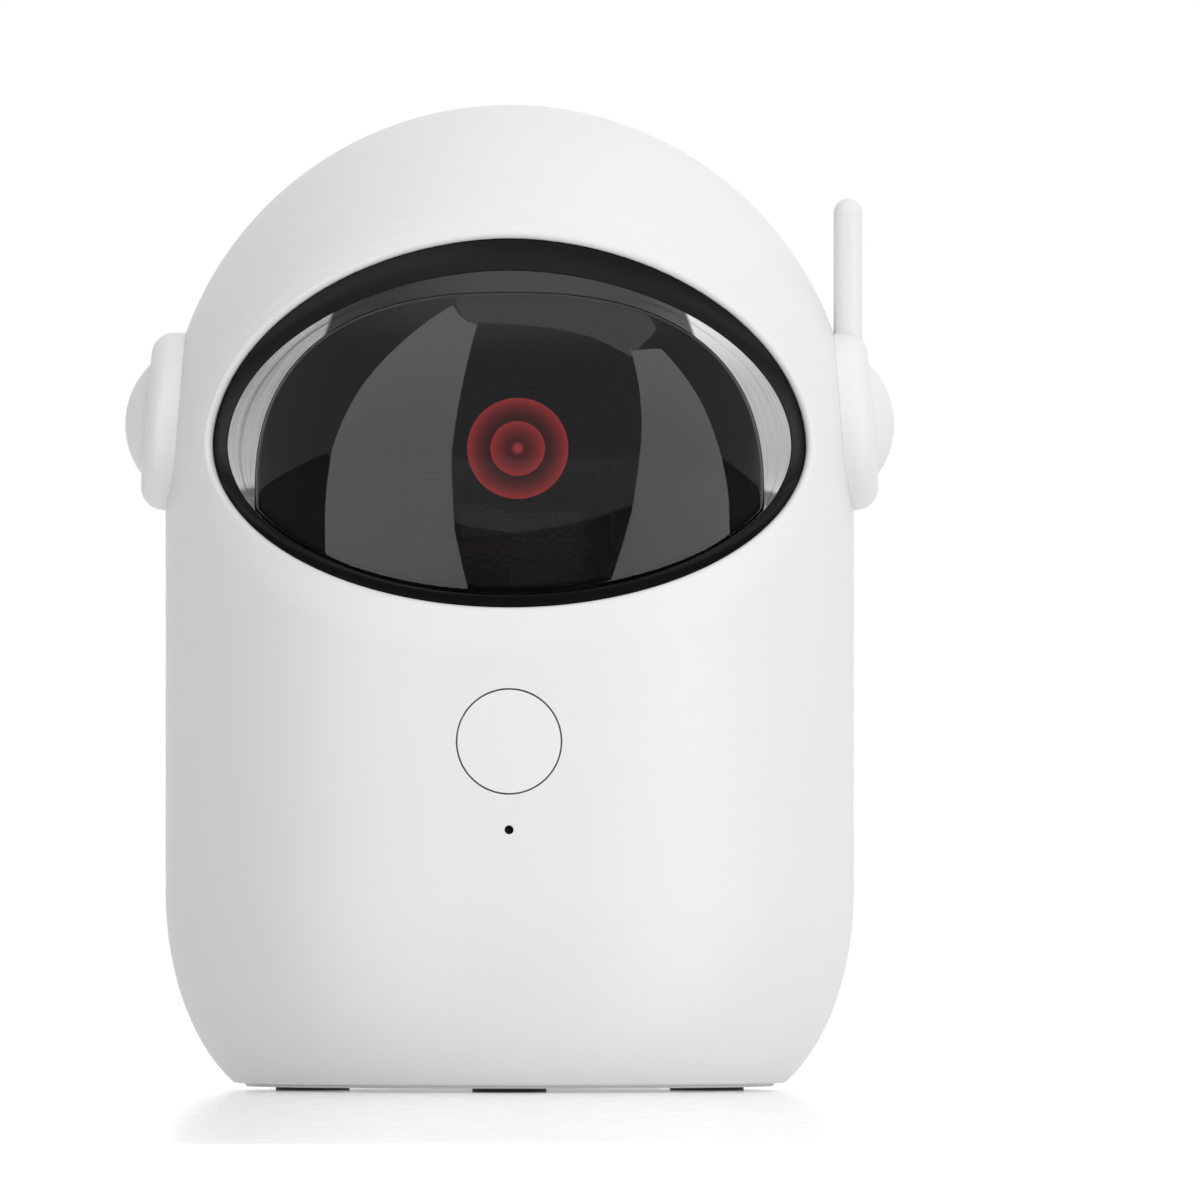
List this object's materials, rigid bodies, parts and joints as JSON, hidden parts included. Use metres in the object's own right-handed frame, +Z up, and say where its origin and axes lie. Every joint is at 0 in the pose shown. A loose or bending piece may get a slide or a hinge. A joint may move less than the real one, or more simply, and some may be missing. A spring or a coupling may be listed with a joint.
{
  "type": "automatic cat laser toy",
  "caption": "Helmet-shaped free-standing cat toy: a laser on a geared pan and tilt turret behind a smoked oval visor, with ear caps, an antenna and a front push button.",
  "frame": {"origin": "centre of the circle that the four feet stand on, at floor level", "axes": "+Z up through the dome, the visor and button face -Y, +X towards the ear that carries the antenna"},
  "size_m": [0.0936, 0.0838, 0.12],
  "materials": {
    "white_shell": "fine matte moulded ABS",
    "white_button": "smooth satin moulded ABS",
    "smoked_window": "clear smoked polycarbonate, polished",
    "black_trim": "gloss black moulded plastic",
    "black_inner": "matte black moulded plastic",
    "foot_rubber": "soft dark rubber",
    "base_plastic": "matte moulded ABS",
    "circuit_board": "green solder mask",
    "chip_black": "matte black epoxy",
    "header_white": "natural nylon",
    "led_clear": "clear epoxy",
    "switch_black": "black nylon",
    "cell_wrap": "shrink-wrapped steel can",
    "steel_zinc": "zinc-plated steel",
    "motor_steel": "drawn steel can",
    "socket_steel": "stainless sheet",
    "gear_nylon": "natural acetal",
    "deck_plastic": "matte dark ABS",
    "laser_brass": "turned brass",
    "red_ring": "translucent red acrylic",
    "lens_red": "polished red lens"
  },
  "bodies": {
    "root": {"front_shell": "white_shell", "rear_shell": "white_shell", "housing_screws": "steel_zinc", "base_cover": "base_plastic", "base_screws": "steel_zinc", "foot_pads": "foot_rubber", "visor": "smoked_window", "visor_bezel": "black_trim", "visor_frame": "black_inner", "left_ear_cup": "white_shell", "right_ear_cup": "white_shell", "left_ear_cap": "white_shell", "right_ear_cap": "white_shell", "antenna": "white_shell", "tact_switch": "switch_black", "status_led": "led_clear", "control_board": "circuit_board", "board_screws": "steel_zinc", "controller_chip": "chip_black", "battery_header": "header_white", "motor_header": "header_white", "battery_cell": "cell_wrap", "battery_strap": "black_inner", "strap_screws": "steel_zinc", "charge_board": "circuit_board", "charge_board_screws": "steel_zinc", "charge_chip": "chip_black", "usb_socket": "socket_steel", "mechanism_deck": "deck_plastic", "deck_screws": "steel_zinc", "pan_motor": "motor_steel", "pan_motor_screws": "steel_zinc", "hub_cap": "gear_nylon", "hub_screw": "steel_zinc"},
    "button": {"power_button": "white_button"},
    "plunger": {"switch_plunger": "switch_black"},
    "pan_drive": {"pan_motor_shaft": "steel_zinc", "pan_pinion": "gear_nylon"},
    "turntable": {"pan_gear": "gear_nylon", "yoke": "deck_plastic", "yoke_screws": "steel_zinc", "tilt_motor": "motor_steel", "tilt_motor_clamp": "motor_steel", "clamp_screws": "steel_zinc"},
    "tilt_drive": {"tilt_motor_shaft": "steel_zinc", "tilt_pinion": "gear_nylon"},
    "laser_head": {"laser_cradle": "deck_plastic", "laser_barrel": "laser_brass", "outer_light_ring": "red_ring", "aperture_plate": "black_trim", "inner_light_ring": "red_ring", "laser_lens": "lens_red"}
  },
  "joints": [
    {"name": "button_press", "type": "slide", "parent": "root", "child": "button", "axis": [0, 1, 0], "range_m": [0, 0.0005], "stiffness_N_per_m": 900},
    {"name": "plunger_travel", "type": "slide", "parent": "root", "child": "plunger", "axis": [0, 1, 0], "range_m": [0, 0.0005]},
    {"name": "head_pan", "type": "hinge", "parent": "root", "child": "turntable", "pos_m": [0, 0, 0.053], "axis": [0, 0, 1], "range_deg": [-55, 55]},
    {"name": "pan_pinion_spin", "type": "hinge", "parent": "root", "child": "pan_drive", "pos_m": [0, 0.018, 0.053], "axis": [0, 0, 1], "range_deg": [-280, 280]},
    {"name": "laser_tilt", "type": "hinge", "parent": "turntable", "child": "laser_head", "pos_m": [0, 0, 0.0781], "axis": [1, 0, 0], "range_deg": [-8, 35]},
    {"name": "tilt_pinion_spin", "type": "hinge", "parent": "turntable", "child": "tilt_drive", "pos_m": [0, 0.01273, 0.06537], "axis": [1, 0, 0], "range_deg": [-180, 45]}
  ],
  "couplings": [
    {"joint": "plunger_travel", "follows": "button_press", "ratio": 1},
    {"joint": "pan_pinion_spin", "follows": "head_pan", "ratio": -5},
    {"joint": "tilt_pinion_spin", "follows": "laser_tilt", "ratio": -5}
  ]
}
